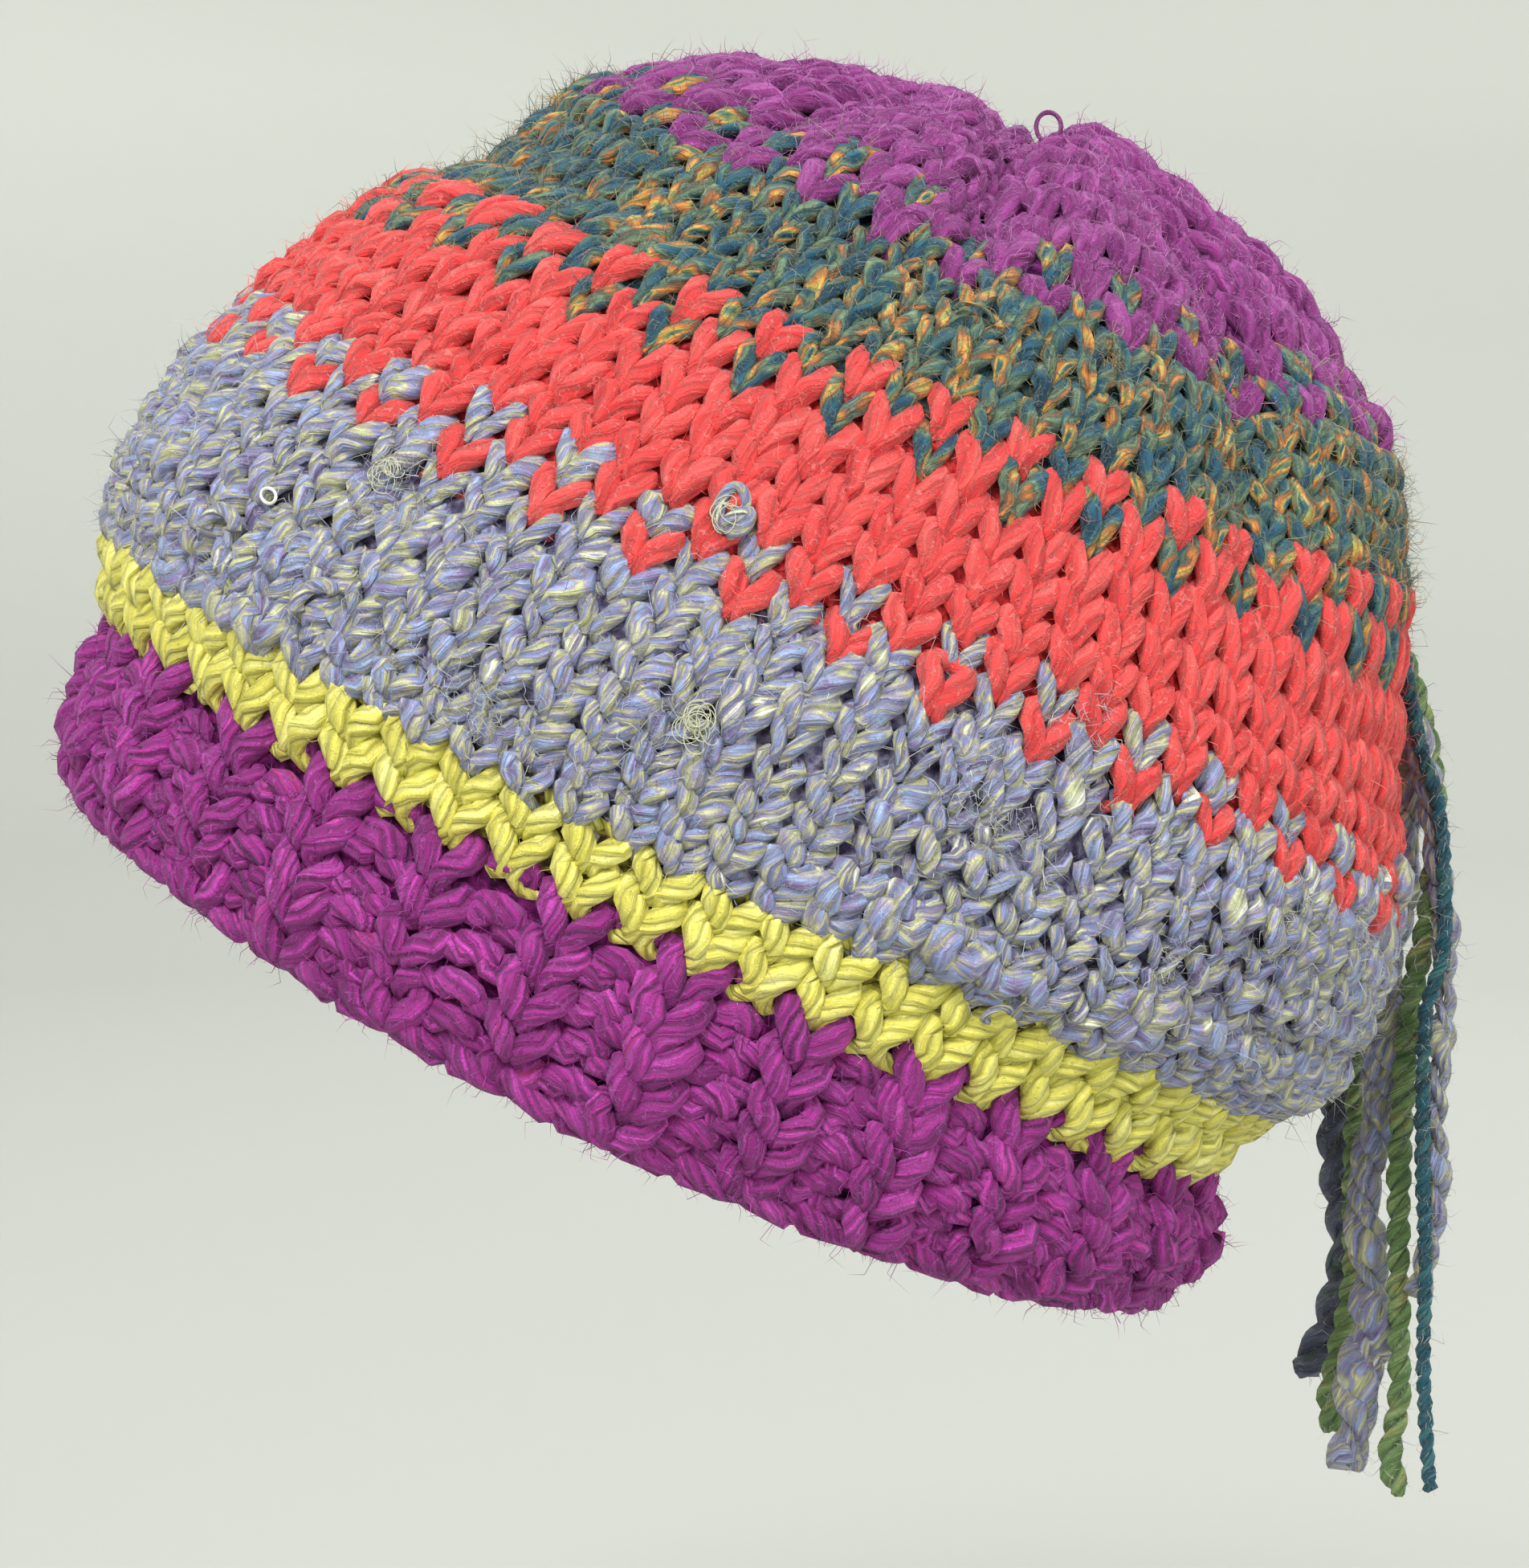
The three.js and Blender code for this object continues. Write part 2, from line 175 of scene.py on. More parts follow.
def stitchPath(steps):  # one stitch as even steps along a closed spline
    points = np.concatenate([stitchWhole[-2:] - [1, 0, 0], stitchWhole, stitchWhole[:3] + [1, 0, 0]])
    fine = []
    for k in range(2, len(stitchWhole) + 2):
        a, b, c, d = points[k - 1], points[k], points[k + 1], points[k + 2]
        for t in np.linspace(0, 1, 20, endpoint=False):
            fine.append(0.5 * (2 * b + (c - a) * t + (2 * a - 5 * b + 4 * c - d) * t ** 2
                               + (3 * b - a - 3 * c + d) * t ** 3))
    fine = np.array(fine + [stitchWhole[0] + [1, 0, 0]])
    way = np.concatenate([[0], np.cumsum(np.linalg.norm(np.diff(fine * [9, 8.5, 2.6], axis=0), axis=1))])
    even = np.linspace(0, way[-1], steps, endpoint=False)
    return np.stack([np.interp(even, way, fine[:, k]) for k in range(3)], axis=1)


class YarnMesh:  # yarns and loose fibres gathered into one mesh
    def __init__(self):
        self.points, self.tints, self.faces, self.materials = [], [], {}, {}
        self.loopUvs = {}
        self.count = 0
        self.spots = []

    def addFaces(self, faces, uv, material=0):
        size = faces.shape[1]
        self.faces.setdefault(size, []).append(faces)
        self.loopUvs.setdefault(size, []).append(uv)
        self.materials.setdefault(size, []).append(np.full(len(faces), material))

    def addYarn(self, path, radius, outward, sides, closed, tint=0.0, shift=0.0, material=0):
        n = len(path)
        radius = np.broadcast_to(radius, n)
        if closed:
            tangent = unit(np.roll(path, -1, axis=0) - np.roll(path, 1, axis=0))
            steps = np.linalg.norm(np.roll(path, -1, axis=0) - path, axis=1)
        else:
            tangent = unit(np.gradient(path, axis=0))
            steps = np.linalg.norm(np.diff(path, axis=0), axis=1)
        along = np.concatenate([[0], np.cumsum(steps)]) + shift
        side = unit(np.cross(tangent, outward))
        top = np.cross(side, tangent)
        turn = -np.linspace(0, 2 * math.pi, sides, endpoint=False)
        circle = np.cos(turn)[None, :, None] * side[:, None, :] + np.sin(turn)[None, :, None] * top[:, None, :]
        lumps = rng.normal(0, 0.06, (n, sides))
        lumps = (lumps + np.roll(lumps, 1, axis=0) + np.roll(lumps, 2, axis=0)) * 0.6
        points = path[:, None, :] + circle * (radius[:, None] * (1 + lumps))[:, :, None]
        rows = n if closed else n - 1
        i, j = np.arange(rows)[:, None], np.arange(sides)[None, :]
        i2, j2 = (i + 1) % n, (j + 1) % sides
        corners = (i * sides + j, i * sides + j2, i2 * sides + j2, i2 * sides + j)
        quads = np.stack(np.broadcast_arrays(*corners), axis=-1).reshape(-1, 4) + self.count
        u0, u1, v0, v1 = j / sides, (j + 1) / sides, along[:rows, None], along[1:rows + 1, None]
        uv = np.stack([np.stack(np.broadcast_arrays(u, v), axis=-1)
                       for u, v in ((u0, v0), (u1, v0), (u1, v1), (u0, v1))], axis=2).reshape(-1, 4, 2)
        self.addFaces(quads, uv, material)
        if not closed:
            ends = np.stack([np.arange(sides)[::-1], np.arange(sides) + (n - 1) * sides]) + self.count
            u = np.arange(sides) / sides
            self.addFaces(ends, np.stack([np.stack([u, np.full(sides, along[k])], axis=-1) for k in (0, n - 1)]),
                          material)
        self.points.append(points.reshape(-1, 3))
        self.tints.append(np.repeat(np.broadcast_to(tint, n), sides))
        self.count += n * sides
        self.spots.append(np.concatenate([path, tangent, outward, radius[:, None]], axis=1))

    def pickSpots(self, count, lift):  # where fibres start, and the way they point
        spots = np.concatenate(self.spots)
        spots = spots[rng.integers(0, len(spots), count)]
        at, tangent, outward, radius = spots[:, :3], spots[:, 3:6], spots[:, 6:9], spots[:, 9:10]
        side = unit(np.cross(tangent, outward))
        turn = rng.uniform(-1.5, 1.5, (count, 1))
        away = outward * np.cos(turn) + side * np.sin(turn)
        rise = rng.uniform(lift[0], lift[1], (count, 1))
        lean = unit(tangent * rng.choice([-1, 1], (count, 1)) + side * rng.normal(0, 0.7, (count, 1)))
        way = unit(away * rise + lean * (1.15 - rise) + rng.normal(0, 0.15, (count, 3)))
        return at + away * radius * 0.88, way

    def addPoints(self, points, count):
        self.points.append(points)
        self.tints.append(rng.uniform(size=count).repeat(len(points) // count))
        self.count += len(points)

    def addFuzz(self, count, length, thick, material=1, lift=(0.15, 0.8)):  # short straight fibres
        base, way = self.pickSpots(count, lift)
        size = length * rng.uniform(0.35, 1.0, (count, 1))
        across = unit(np.cross(way, rng.normal(size=(count, 3))))
        other = np.cross(way, across)
        corners = [base + (across * math.cos(k * thirdTurn) + other * math.sin(k * thirdTurn)) * thick
                   for k in range(3)]
        points = np.stack(corners + [base + way * size], axis=1).reshape(-1, 3)
        first = (np.arange(count) * 4 + self.count)[:, None]
        tris = np.concatenate([first + [2, 1, 0], first + [0, 1, 3], first + [1, 2, 3], first + [2, 0, 3]])
        uv = np.zeros((len(tris), 3, 2))
        uv[:, :, 1] = np.tile(rng.uniform(0, 400, count), 4)[:, None]
        self.addFaces(tris, uv, material)
        self.addPoints(points, count)

    def addHairs(self, count, length, thick, material=1, lift=(0.3, 1.0), starts=None):  # long bent fibres
        base, way = starts if starts else self.pickSpots(count, lift)
        size = length * rng.uniform(0.3, 1.0, (count, 1)) ** 1.4
        bend = unit(np.cross(way, rng.normal(size=(count, 3)))) * size * rng.uniform(0.12, 0.50, (count, 1))
        middle = base + way * size * 0.5 + bend
        tip = base + way * size - bend * rng.uniform(-0.8, 1.6, (count, 1))
        across = unit(np.cross(way, rng.normal(size=(count, 3))))
        other = np.cross(way, across)
        corners = [centre + (across * math.cos(k * thirdTurn) + other * math.sin(k * thirdTurn)) * thick * share
                   for centre, share in ((base, 1.0), (middle, 0.75)) for k in range(3)]
        points = np.stack(corners + [tip], axis=1).reshape(-1, 3)
        first = (np.arange(count) * 7 + self.count)[:, None]
        quads = np.concatenate([first + [a, b, b + 3, a + 3] for a, b in ((0, 1), (1, 2), (2, 0))])
        tris = np.concatenate([first + [2, 1, 0]]
                              + [first + [a + 3, b + 3, 6] for a, b in ((0, 1), (1, 2), (2, 0))])
        place = rng.uniform(0, 400, count)
        for faces in (quads, tris):
            uv = np.zeros((len(faces), faces.shape[1], 2))
            uv[:, :, 1] = np.tile(place, len(faces) // count)[:, None]
            self.addFaces(faces, uv, material)
        self.addPoints(points, count)

    def addTuft(self, level, angle, count, spread, length, thick, material=1):  # a thick tangle of fibres
        levels = level + rng.normal(0, spread / 9, count)
        angles = angle + rng.normal(0, spread / 90, count)
        up, around, out = directions(levels, angles)
        turn = rng.uniform(0, 2 * math.pi, (count, 1))
        way = unit(up * np.sin(turn) + around * np.cos(turn) + out * rng.uniform(0.0, 0.5, (count, 1)))
        self.addHairs(count, length, thick, material, starts=(clothPoint(levels, angles, np.full(count, 0.4)), way))

    # a stray loop of yarn
    def addCurl(self, level, angle, wide, high, tilt, thick, sweep=1.0, material=0, lift=0.3):
        turn = np.linspace(-0.5, 0.5, 18) * 2 * math.pi * sweep
        up, around, out = (d[0] for d in directions(np.array([level]), np.array([angle])))
        middle = clothPoint(np.array([level]), np.array([angle]), np.array([-lift]))[0]
        across = around * math.cos(tilt) + up * math.sin(tilt)
        along = up * math.cos(tilt) - around * math.sin(tilt)
        path = middle + across * (np.sin(turn) * wide)[:, None] + along * (np.cos(turn) * high)[:, None] \
            + out * (np.cos(turn * 0.5) * 0.8 - 0.6)[:, None]
        self.addYarn(path, thick, np.broadcast_to(out, path.shape), 6, False, material=material)

    def addNest(self, level, angle, loops, size, thick, material):  # a coil of loose fibres
        for _ in range(loops):
            wide, high = rng.uniform(0.45, 1.0, 2) * size
            self.addCurl(level + rng.normal(0, 0.07), angle + rng.normal(0, 0.008), wide, high,
                         rng.uniform(0, 3.1), thick, rng.uniform(0.6, 1.0), material, rng.uniform(0.2, 1.6))

    def addShell(self, levels, depth, thick, material, columns=112):  # the cloth's dense middle, seen in its gaps; the dark colours of its material are painted shade
        angles = angleAt(np.linspace(0, 1, columns, endpoint=False))
        loop = [(level, depth) for level in levels] + [(level, depth + thick) for level in levels[::-1]]
        points = np.concatenate([clothPoint(np.full(columns, level), angles, np.full(columns, deep))
                                 for level, deep in loop])
        i, j = np.arange(len(loop))[:, None], np.arange(columns)[None, :]
        i2, j2 = (i + 1) % len(loop), (j + 1) % columns
        corners = (i * columns + j, i * columns + j2, i2 * columns + j2, i2 * columns + j)
        quads = np.stack(np.broadcast_arrays(*corners), axis=-1).reshape(-1, 4) + self.count
        uv = np.zeros((len(quads), 4, 2))
        uv[:, :, 1] = (np.arange(len(quads)) % 97)[:, None]
        self.addFaces(quads, uv, material)
        self.points.append(points)
        self.tints.append(np.zeros(len(points)))
        self.count += len(points)

    def build(self, name, materials, node):
        mesh = bpy.data.meshes.new(name)
        points = np.concatenate(self.points) * 0.001
        mesh.vertices.add(len(points))
        mesh.vertices.foreach_set("co", points.astype(np.float32).ravel())
        sizes = sorted(self.faces)
        faces = {size: np.concatenate(self.faces[size]) for size in sizes}
        loops = np.concatenate([faces[size].ravel() for size in sizes])
        totals = np.concatenate([np.full(len(faces[size]), size) for size in sizes])
        mesh.loops.add(len(loops))
        mesh.loops.foreach_set("vertex_index", loops.astype(np.int32))
        mesh.polygons.add(len(totals))
        mesh.polygons.foreach_set("loop_start", np.concatenate([[0], np.cumsum(totals)[:-1]]).astype(np.int32))
        mesh.polygons.foreach_set("loop_total", totals.astype(np.int32))
        slots = np.concatenate([np.concatenate(self.materials[size]) for size in sizes])
        mesh.polygons.foreach_set("material_index", slots.astype(np.int32))
        mesh.polygons.foreach_set("use_smooth", np.ones(len(totals), dtype=bool))
        mesh.update(calc_edges=True)
        uvLayer = mesh.uv_layers.new(name="yarnMap")
        uvLayer.data.foreach_set("uv", np.concatenate(
            [np.concatenate(self.loopUvs[size]).reshape(-1, 2) for size in sizes]).astype(np.float32).ravel())
        tint = mesh.attributes.new("tint", "FLOAT", "POINT")
        tint.data.foreach_set("value", np.concatenate(self.tints).astype(np.float32))
        for material in materials:
            mesh.materials.append(material)
        obj = bpy.data.objects.new(name, mesh)
        bpy.context.collection.objects.link(obj)
        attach(obj, "root")
        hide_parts(node)
        print(name, "made,", int((totals - 2).sum()), "triangles")


def knitRound(mesh, row, look, stitches=None, chosen=None, kinds=None, wide=1.0):
    count = stitches or look["stitches"]
    steps = look["steps"]
    shape = stitchPath(steps)
    if chosen is None:
        runs = [(list(range(count)), True)]
    else:
        runs = [([k], False) for k in chosen]
    dx, dy, dz, dr = (wander(count * 2, 2.0) * look["uneven"] * f for f in (0.035, 0.05, 0.14, 0.04))
    lift = look.get("lift", 0.0)
    for run, closed in runs:
        k = np.repeat(run, steps)
        local = np.tile(shape, (len(run), 1))
        s = np.tile(np.arange(steps) / steps, len(run))
        if not closed:  # one more step closes the last stitch's foot
            local = np.concatenate([local, [[1 + stitchWhole[0][0], stitchWhole[0][1], stitchWhole[0][2]]]])
            k = np.append(k, run[-1])
            s = np.append(s, 1.0)
        x, y, z = local.T
        x = x + dx[k]
        y = 0.25 + (y - 0.25) * (1 + dy[k]) + dy[k] * 0.6
        z = z + dz[k]
        deep = look["depth"] - lift
        if kinds is not None:  # purl stitches show their back, and sink between the knit ones
            kind = kinds[k % len(kinds)]
            z = z * kind * np.clip(1.7 * np.sin(math.pi * s), 0, 1)
            blend = 0.5 - 0.5 * np.cos(2 * math.pi * s)
            deep = deep + np.where(kind < 0, look["purlSink"] * blend, 0)
            x = 0.5 + (x - 0.5) * np.where(kind > 0, look["knitWide"], 2 - look["knitWide"])
        share = (k + 0.5 + (x - 0.5) * wide) / count
        level = levelAt(row + y)
        angle = angleAt(share)
        radius = look["radius"] * (1 + dr[k]) * (look["thin"] + (1.1 - look["thin"]) * smoothStep(-0.5, 0.55, y))
        if "slub" in look:
            radius = radius * np.exp(look["slub"] * np.clip(wander(len(k), 6), -1.6, 1.6))
        depth = deep - look["swing"] * z
        path = clothPoint(level, angle, depth)
        path = path + rng.normal(0, look["uneven"] * 0.06, path.shape)
        outward = directions(level, angle)[2]
        mesh.addYarn(path, radius, outward, look["sides"], closed, tint=rng.uniform(), shift=rng.uniform(0, 200))


# materials

def makeRamp(nodes, stops):
    node = nodes.new("ShaderNodeValToRGB")
    elements = node.color_ramp.elements
    while len(elements) > 1:
        elements.remove(elements[-1])
    for k, (at, colour) in enumerate(stops):
        element = elements[0] if k == 0 else elements.new(at)
        element.position = at
        element.color = (*linearColour(colour), 1)
    return node


def linearColour(rgb):
    return [((c / 255 + 0.055) / 1.055) ** 2.4 if c > 10 else c / 255 / 12.92 for c in rgb]


def looseFibres(nodes, links, mathNode):  # fine crooked lines, as of fibres that lie across the yarn
    place = nodes.new("ShaderNodeTexCoord").outputs["Object"]
    lines = None
    for scale, start in ((420.0, 0.0), (560.0, 3.1), (330.0, 7.7)):
        mapping = nodes.new("ShaderNodeMapping")
        mapping.inputs["Location"].default_value = (start, start * 2, -start)
        mapping.inputs["Scale"].default_value = (scale, scale, scale)
        links.new(place, mapping.inputs["Vector"])
        noise = nodes.new("ShaderNodeTexNoise")
        noise.inputs["Scale"].default_value = 1.0
        noise.inputs["Detail"].default_value = 1.0
        links.new(mapping.outputs[0], noise.inputs["Vector"])
        off = mathNode("ABSOLUTE", mathNode("SUBTRACT", noise.outputs["Fac"], 0.5))
        line = mathNode("MAXIMUM", mathNode("MULTIPLY_ADD", off, -70.0, 1.0), 0.0)
        lines = line if lines is None else mathNode("MAXIMUM", lines, line)
    return lines


def yarnMaterial(name, look):
    material = bpy.data.materials.new(name)
    material.use_nodes = True
    nodes, links = material.node_tree.nodes, material.node_tree.links
    shader = nodes["Principled BSDF"]
    shader.inputs["Roughness"].default_value = look["rough"]
    shader.inputs["Sheen Weight"].default_value = look["sheen"]
    shader.inputs["Sheen Roughness"].default_value = 0.5
    shader.inputs["Sheen Tint"].default_value = (*linearColour(look["sheenTint"]), 1)
    shader.inputs["Specular IOR Level"].default_value = look["gloss"]

    def put(node, values):
        for socket, value in zip(node.inputs, values):
            if isinstance(value, (int, float)):
                socket.default_value = value
            else:
                links.new(value, socket)
        return node.outputs[0]

    def mathNode(operation, *values):
        node = nodes.new("ShaderNodeMath")
        node.operation = operation
        return put(node, values)

    def noise(vector, detail=1.0, rough=0.5):
        node = nodes.new("ShaderNodeTexNoise")
        node.inputs["Scale"].default_value = 1.0
        node.inputs["Detail"].default_value = detail
        node.inputs["Roughness"].default_value = rough
        links.new(vector, node.inputs["Vector"])
        return node.outputs["Fac"]

    uvNode = nodes.new("ShaderNodeUVMap")
    uvNode.uv_map = "yarnMap"
    split = nodes.new("ShaderNodeSeparateXYZ")
    links.new(uvNode.outputs[0], split.inputs[0])
    u, v = split.outputs[0], split.outputs[1]
    plies = float(look["plies"])
    sway = noise(put(nodes.new("ShaderNodeCombineXYZ"), (0.0, mathNode("MULTIPLY", v, 0.16), 0.0)))
    twist = mathNode("SUBTRACT", u, mathNode("MULTIPLY", v, 1 / look["pitch"]))
    twist = mathNode("MULTIPLY_ADD", sway, look["wobble"] / plies, twist)
    circle = mathNode("MULTIPLY", twist, 2 * math.pi)
    cosine, sine = mathNode("COSINE", circle), mathNode("SINE", circle)

    def wrapped(size, along, start, detail=1.0, rough=0.5):  # noise that closes round the yarn
        place = put(nodes.new("ShaderNodeCombineXYZ"), (mathNode("MULTIPLY", cosine, size),
                    mathNode("MULTIPLY", sine, size), mathNode("MULTIPLY_ADD", v, along, start)))
        return noise(place, detail, rough)

    ridge = mathNode("SINE", mathNode("MULTIPLY", mathNode("FRACT", mathNode("MULTIPLY", twist, plies)), math.pi))
    ridge = mathNode("POWER", ridge, look["ridgePower"])
    patches = wrapped(0.4, 1 / look["colourRun"], 3.0)
    streaks = wrapped(look["streaks"], 0.45 / look["colourRun"], 9.0)
    fibres = wrapped(look["fibres"], 0.14, 20.0, 3.0, 0.6)
    blend = mathNode("MULTIPLY_ADD", patches, look["plyMix"], mathNode("MULTIPLY", streaks, 1 - look["plyMix"]))
    spreadOut = nodes.new("ShaderNodeMapRange")
    spreadOut.inputs["From Min"].default_value = 0.30
    spreadOut.inputs["From Max"].default_value = 0.70
    links.new(blend, spreadOut.inputs["Value"])
    ramp = makeRamp(nodes, look["colours"])
    links.new(spreadOut.outputs[0], ramp.inputs[0])
    # painted shade: the yarn's colour is darkened in the grooves between the plies
    grooveShadeMask = mathNode("POWER", mathNode("SUBTRACT", 1.0, ridge), 2.0)
    shade = mathNode("MULTIPLY_ADD", grooveShadeMask, -look["grooveShade"], 1.0)
    # fibre streaks lighten and darken the colour with the fibres' bump height: partly random fibre tone, partly
    # painted highlight and shade
    fibreShade = mathNode("MULTIPLY_ADD", fibres, 2 * look["fibreShade"], 1 - look["fibreShade"])
    shade = mathNode("MULTIPLY", shade, fibreShade)
    darken = nodes.new("ShaderNodeMix")
    darken.data_type = "RGBA"
    darken.blend_type = "MULTIPLY"
    darken.clamp_result = True
    darken.inputs["Factor"].default_value = 1.0
    links.new(ramp.outputs[0], darken.inputs[6])
    grey = nodes.new("ShaderNodeCombineColor")
    for socket in grey.inputs:
        links.new(shade, socket)
    links.new(grey.outputs[0], darken.inputs[7])
    fuzz = looseFibres(nodes, links, mathNode)
    cover = nodes.new("ShaderNodeMix")
    cover.data_type = "RGBA"
    links.new(mathNode("MULTIPLY", fuzz, look["fuzz"]), cover.inputs["Factor"])
    links.new(darken.outputs[2], cover.inputs[6])
    cover.inputs[7].default_value = (*linearColour(look["fuzzColour"]), 1)
    links.new(cover.outputs[2], shader.inputs["Base Color"])
    height = mathNode("MULTIPLY_ADD", fibres, look["fibreHeight"], ridge)
    height = mathNode("MULTIPLY_ADD", fuzz, look["fuzz"] * 0.6, height)
    bump = nodes.new("ShaderNodeBump")
    bump.inputs["Strength"].default_value = look["bump"]
    bump.inputs["Distance"].default_value = look["ridge"] * 0.001
    links.new(height, bump.inputs["Height"])
    links.new(bump.outputs[0], shader.inputs["Normal"])
    return material


def hairMaterial(name, colours):  # loose fibres, each with a colour of its own; the lighter colours are partly painted light, as shines through thin fibres
    material = bpy.data.materials.new(name)
    material.use_nodes = True
    nodes, links = material.node_tree.nodes, material.node_tree.links
    shader = nodes["Principled BSDF"]
    shader.inputs["Roughness"].default_value = 0.7
    shader.inputs["Specular IOR Level"].default_value = 0.3
    tint = nodes.new("ShaderNodeAttribute")
    tint.attribute_name = "tint"
    ramp = makeRamp(nodes, [(k / (len(colours) - 1), colour) for k, colour in enumerate(colours)])
    links.new(tint.outputs["Fac"], ramp.inputs[0])
    links.new(ramp.outputs[0], shader.inputs["Base Color"])
    return material


def deepShadeMaterial(name, colours):  # the matted middle of the cloth, in darkened colours: painted shade in the gaps between stitches
    material = bpy.data.materials.new(name)
    material.use_nodes = True
    nodes, links = material.node_tree.nodes, material.node_tree.links
    shader = nodes["Principled BSDF"]
    shader.inputs["Roughness"].default_value = 0.95
    shader.inputs["Specular IOR Level"].default_value = 0.1
    place = nodes.new("ShaderNodeTexCoord")
    noise = nodes.new("ShaderNodeTexNoise")
    noise.inputs["Scale"].default_value = 520.0
    noise.inputs["Detail"].default_value = 3.0
    links.new(place.outputs["Object"], noise.inputs["Vector"])
    ramp = makeRamp(nodes, [(0.36 + 0.28 * k / (len(colours) - 1), colour) for k, colour in enumerate(colours)])
    links.new(noise.outputs["Fac"], ramp.inputs[0])
    links.new(ramp.outputs[0], shader.inputs["Base Color"])
    bump = nodes.new("ShaderNodeBump")
    bump.inputs["Distance"].default_value = 0.0015
    links.new(noise.outputs["Fac"], bump.inputs["Height"])
    links.new(bump.outputs[0], shader.inputs["Normal"])
    return material


def plainMaterial(name, colour, rough=0.9, sheen=0.3):
    material = bpy.data.materials.new(name)
    material.use_nodes = True
    shader = material.node_tree.nodes["Principled BSDF"]
    shader.inputs["Base Color"].default_value = (*linearColour(colour), 1)
    shader.inputs["Roughness"].default_value = rough
    shader.inputs["Sheen Weight"].default_value = sheen
    shader.inputs["Specular IOR Level"].default_value = 0.2
    return material


# In each piece, shell: levels, depth, thickness, material; fibres: count, length, thickness

# brim, knit one purl one
brimLook = {
    "stitches": 56, "rows": range(0, 5), "steps": 16, "sides": 7, "radius": 2.3, "thin": 0.85, "depth": 4.3,
    "swing": 2.3, "uneven": 2.0, "purlSink": 1.8, "knitWide": 1.12,
    "plies": 6, "pitch": 20.0, "wobble": 2.4, "streaks": 2.3, "fibres": 2.8, "colourRun": 14.0, "plyMix": 0.45,
    "grooveShade": 0.45, "fibreShade": 1.0, "fibreHeight": 1.6, "bump": 1.0, "ridge": 0.6, "ridgePower": 1.4,
    "rough": 0.7, "sheen": 0.25, "sheenTint": (220, 160, 230), "gloss": 0.35, "fuzz": 0.45,
    "fuzzColour": (186, 96, 180),
    "colours": [(0.0, (88, 12, 80)), (0.3, (138, 28, 118)), (0.6, (164, 42, 140)), (0.8, (184, 66, 168)),
                (1.0, (196, 48, 130))],
    "shell": ([0.25, 0.9, 1.7, 2.6, 3.5], 4.3, 1.2, 2),
    "shortFibres": (10000, 2.2, 0.065),
    "longFibres": (4200, 6, 0.07),
}
brim = YarnMesh()
ribKinds = np.array([1, -1])
for row in brimLook["rows"]:
    knitRound(brim, row, brimLook, kinds=ribKinds)
for phase in (0, math.pi):  # cast-on edge of two twisted strands
    n = 56 * 9
    s = np.arange(n) / n
    turn = s * 56 * math.pi + phase
    angle = angleAt(s)
    level = 0.10 + 0.16 * np.sin(turn)
    depth = 4.6 + 1.9 * np.cos(turn)
    brim.addYarn(clothPoint(level, angle, depth), 2.1, directions(np.maximum(level, 0.1), angle)[2], 8, True)
brim.addShell(*brimLook["shell"])
brim.addFuzz(*brimLook["shortFibres"])
brim.addHairs(*brimLook["longFibres"])
brimYarn = yarnMaterial("brimYarn", brimLook)
brimHair = hairMaterial("brimHair", [(110, 20, 96), (156, 50, 140), (190, 96, 184)])
# darkened colours for the brim's middle: painted shade in its gaps
brimDeepShade = deepShadeMaterial("brimDeepShade", [(34, 8, 32), (70, 16, 62), (112, 30, 98)])
brim.build("brimKnit", [brimYarn, brimHair, brimDeepShade], "brim")

# lime band
limeLook = {
    "stitches": 56, "rows": (5, 6), "steps": 16, "sides": 7, "radius": 2.35, "thin": 0.85, "depth": 4.2,
    "swing": 1.9, "lift": 0.3, "uneven": 1.8,
    "plies": 5, "pitch": 15.0, "wobble": 1.4, "streaks": 1.6, "fibres": 2.6, "colourRun": 14.0, "plyMix": 0.4,
    "grooveShade": 0.4, "fibreShade": 0.6, "fibreHeight": 0.9, "bump": 1.0, "ridge": 0.6, "ridgePower": 1.0,
    "rough": 0.45, "sheen": 0.2, "sheenTint": (240, 240, 190), "gloss": 0.6, "fuzz": 0.15,
    "fuzzColour": (244, 242, 180),
    "colours": [(0.0, (194, 187, 66)), (0.5, (222, 214, 92)), (1.0, (242, 238, 142))],
    "shell": ([3.42, 3.9, 4.45], 3.5, 1.2, 2),
    "shortFibres": (4500, 1.5, 0.055),
    "longFibres": (500, 4, 0.055),
}
limeBand = YarnMesh()
for row in limeLook["rows"]:
    knitRound(limeBand, row, limeLook)
limeBand.addShell(*limeLook["shell"])
limeBand.addFuzz(*limeLook["shortFibres"])
limeBand.addHairs(*limeLook["longFibres"])
limeYarn = yarnMaterial("limeYarn", limeLook)
limeHair = hairMaterial("limeHair", [(190, 188, 84), (222, 220, 140)])
# darkened colours for the lime band's middle: painted shade in its gaps
limeDeepShade = deepShadeMaterial("limeDeepShade", [(52, 40, 30), (104, 92, 44), (150, 140, 66)])
limeBand.build("limeKnit", [limeYarn, limeHair, limeDeepShade], "lime_band")

